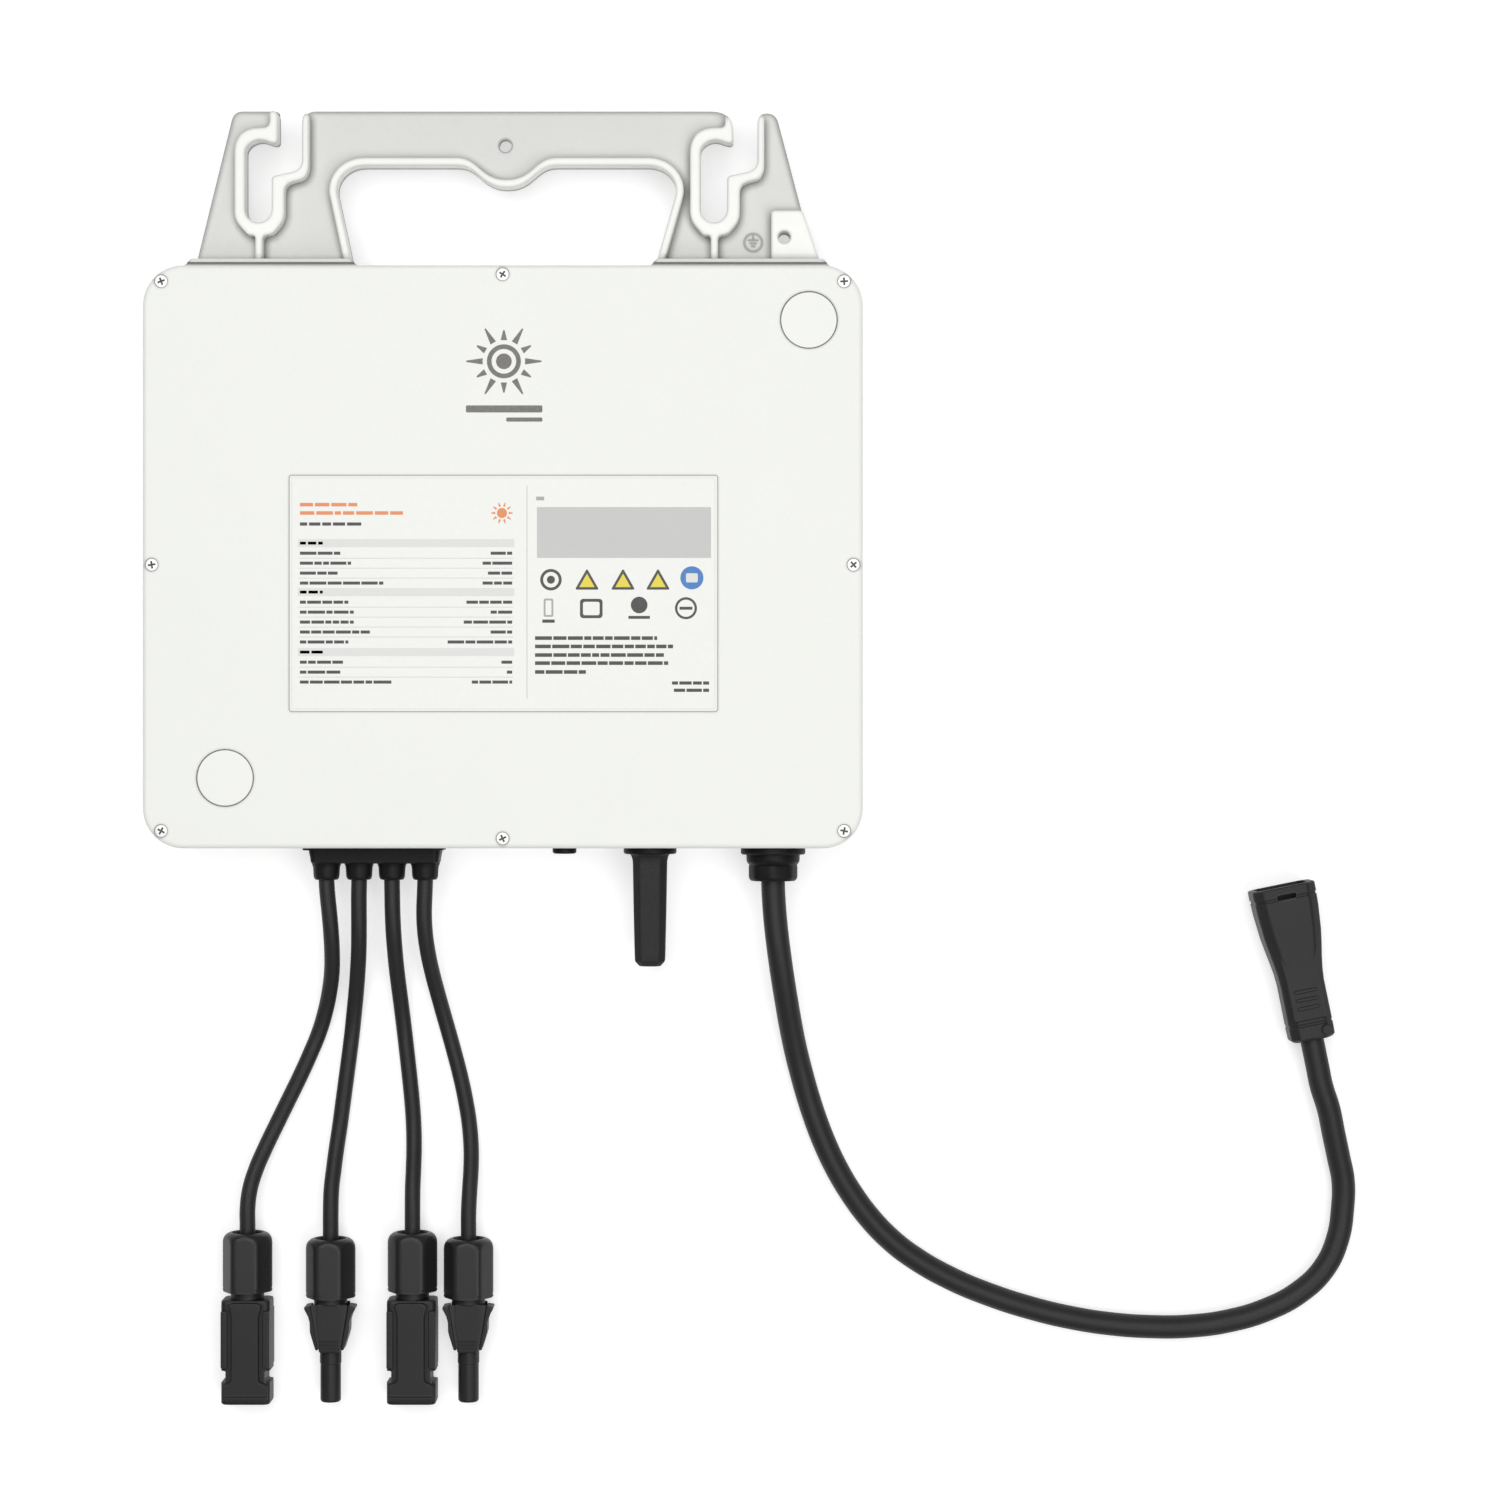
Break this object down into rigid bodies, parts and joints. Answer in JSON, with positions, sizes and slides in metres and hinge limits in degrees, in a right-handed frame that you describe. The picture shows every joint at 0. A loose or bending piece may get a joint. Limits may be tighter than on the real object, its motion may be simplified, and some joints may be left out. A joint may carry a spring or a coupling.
{
  "type": "micro inverter",
  "caption": "Flat white micro inverter with a hooked hanger bracket, solar leads with screw-nut connectors, an antenna and an AC lead with a trunk connector.",
  "frame": {"origin": "centre of the housing's flat back face", "axes": "+Z out of the front cover, +Y towards the hanger bracket, +X to the right seen from the front; the part lies on its back with its cables along the floor"},
  "size_m": [0.4569, 0.4894, 0.0382],
  "materials": {
    "cast_white": "white powder coat, satin",
    "cast_grey": "pale grey powder coat, satin",
    "steel": "plain",
    "black_plastic": "moulded, fine texture",
    "black_rubber": "matt",
    "cable_jacket": "extruded, satin",
    "label_film": "satin printed film",
    "contact_metal": "tin plated",
    "circuit_board": "solder mask",
    "ferrite": "matt",
    "potting_resin": "cast",
    "relay_case": "moulded",
    "shield_can": "tin plated"
  },
  "bodies": {
    "root": {"rear_housing": "cast_white", "cover_gasket": "black_rubber", "front_cover": "cast_white", "cover_screw_1": "steel", "cover_screw_2": "steel", "cover_screw_3": "steel", "cover_screw_4": "steel", "cover_screw_5": "steel", "cover_screw_6": "steel", "cover_screw_7": "steel", "cover_screw_8": "steel", "potting_plug_upper": "cast_white", "potting_plug_lower": "cast_white", "rating_label": "label_film", "hanger_bracket": "cast_grey", "bracket_screw_1": "steel", "bracket_screw_2": "steel", "bracket_screw_3": "steel", "bracket_screw_4": "steel", "dc_gland_block": "black_plastic", "ac_gland": "black_plastic", "antenna_base": "black_plastic", "antenna_sheath": "black_rubber", "status_light": "black_plastic", "dc_cable_1": "cable_jacket", "dc_cable_2": "cable_jacket", "dc_cable_3": "cable_jacket", "dc_cable_4": "cable_jacket", "ac_cable": "cable_jacket", "socket_body_1": "black_plastic", "contact_pin_1": "contact_metal", "plug_body_2": "black_plastic", "contact_sleeve_2": "contact_metal", "socket_body_3": "black_plastic", "contact_pin_3": "contact_metal", "plug_body_4": "black_plastic", "contact_sleeve_4": "contact_metal", "ac_connector_shell": "black_plastic", "ac_connector_insert": "black_rubber", "main_board": "circuit_board", "transformer_1": "ferrite", "transformer_2": "ferrite", "output_choke": "ferrite", "relay": "relay_case", "wifi_module": "shield_can", "input_capacitor_1": "relay_case", "input_capacitor_2": "relay_case", "potting_compound": "potting_resin"},
    "clamp_1": {"clamp_ring_1": "black_rubber"},
    "nut_1": {"coupling_nut_1": "black_plastic"},
    "clamp_2": {"clamp_ring_2": "black_rubber"},
    "nut_2": {"coupling_nut_2": "black_plastic"},
    "clamp_3": {"clamp_ring_3": "black_rubber"},
    "nut_3": {"coupling_nut_3": "black_plastic"},
    "clamp_4": {"clamp_ring_4": "black_rubber"},
    "nut_4": {"coupling_nut_4": "black_plastic"},
    "latch_2_left": {"latch_arm_2_left": "black_plastic"},
    "latch_2_right": {"latch_arm_2_right": "black_plastic"},
    "latch_4_left": {"latch_arm_4_left": "black_plastic"},
    "latch_4_right": {"latch_arm_4_right": "black_plastic"}
  },
  "joints": [
    {"name": "nut_travel_1", "type": "slide", "parent": "root", "child": "clamp_1", "axis": [0, 1, 0], "range_m": [0, 0.006]},
    {"name": "nut_turn_1", "type": "hinge", "parent": "clamp_1", "child": "nut_1", "pos_m": [-0.099, -0.2551, 0.0096], "axis": [0, 1, 0], "range_deg": [0, 1441]},
    {"name": "nut_travel_2", "type": "slide", "parent": "root", "child": "clamp_2", "axis": [0, 1, 0], "range_m": [0, 0.006]},
    {"name": "nut_turn_2", "type": "hinge", "parent": "clamp_2", "child": "nut_2", "pos_m": [-0.0674, -0.2574, 0.0096], "axis": [0, 1, 0], "range_deg": [0, 1441]},
    {"name": "nut_travel_3", "type": "slide", "parent": "root", "child": "clamp_3", "axis": [0, 1, 0], "range_m": [0, 0.006]},
    {"name": "nut_turn_3", "type": "hinge", "parent": "clamp_3", "child": "nut_3", "pos_m": [-0.0363, -0.2551, 0.0096], "axis": [0, 1, 0], "range_deg": [0, 1441]},
    {"name": "nut_travel_4", "type": "slide", "parent": "root", "child": "clamp_4", "axis": [0, 1, 0], "range_m": [0, 0.006]},
    {"name": "nut_turn_4", "type": "hinge", "parent": "clamp_4", "child": "nut_4", "pos_m": [-0.015, -0.2574, 0.0096], "axis": [0, 1, 0], "range_deg": [0, 1441]},
    {"name": "latch_2_left_squeeze", "type": "hinge", "parent": "root", "child": "latch_2_left", "pos_m": [-0.0721, -0.299, 0.0096], "axis": [0, 0, -1], "range_deg": [0, 4.5], "stiffness_Nm_per_rad": 0.02},
    {"name": "latch_2_right_squeeze", "type": "hinge", "parent": "root", "child": "latch_2_right", "pos_m": [-0.0627, -0.299, 0.0096], "axis": [0, 0, 1], "range_deg": [0, 4.5], "stiffness_Nm_per_rad": 0.02},
    {"name": "latch_4_left_squeeze", "type": "hinge", "parent": "root", "child": "latch_4_left", "pos_m": [-0.0197, -0.299, 0.0096], "axis": [0, 0, -1], "range_deg": [0, 4.5], "stiffness_Nm_per_rad": 0.02},
    {"name": "latch_4_right_squeeze", "type": "hinge", "parent": "root", "child": "latch_4_right", "pos_m": [-0.0103, -0.299, 0.0096], "axis": [0, 0, 1], "range_deg": [0, 4.5], "stiffness_Nm_per_rad": 0.02}
  ],
  "couplings": [
    {"joint": "nut_turn_1", "follows": "nut_travel_1", "rad_per_m": 4188.8},
    {"joint": "nut_turn_2", "follows": "nut_travel_2", "rad_per_m": 4188.8},
    {"joint": "nut_turn_3", "follows": "nut_travel_3", "rad_per_m": 4188.8},
    {"joint": "nut_turn_4", "follows": "nut_travel_4", "rad_per_m": 4188.8}
  ]
}
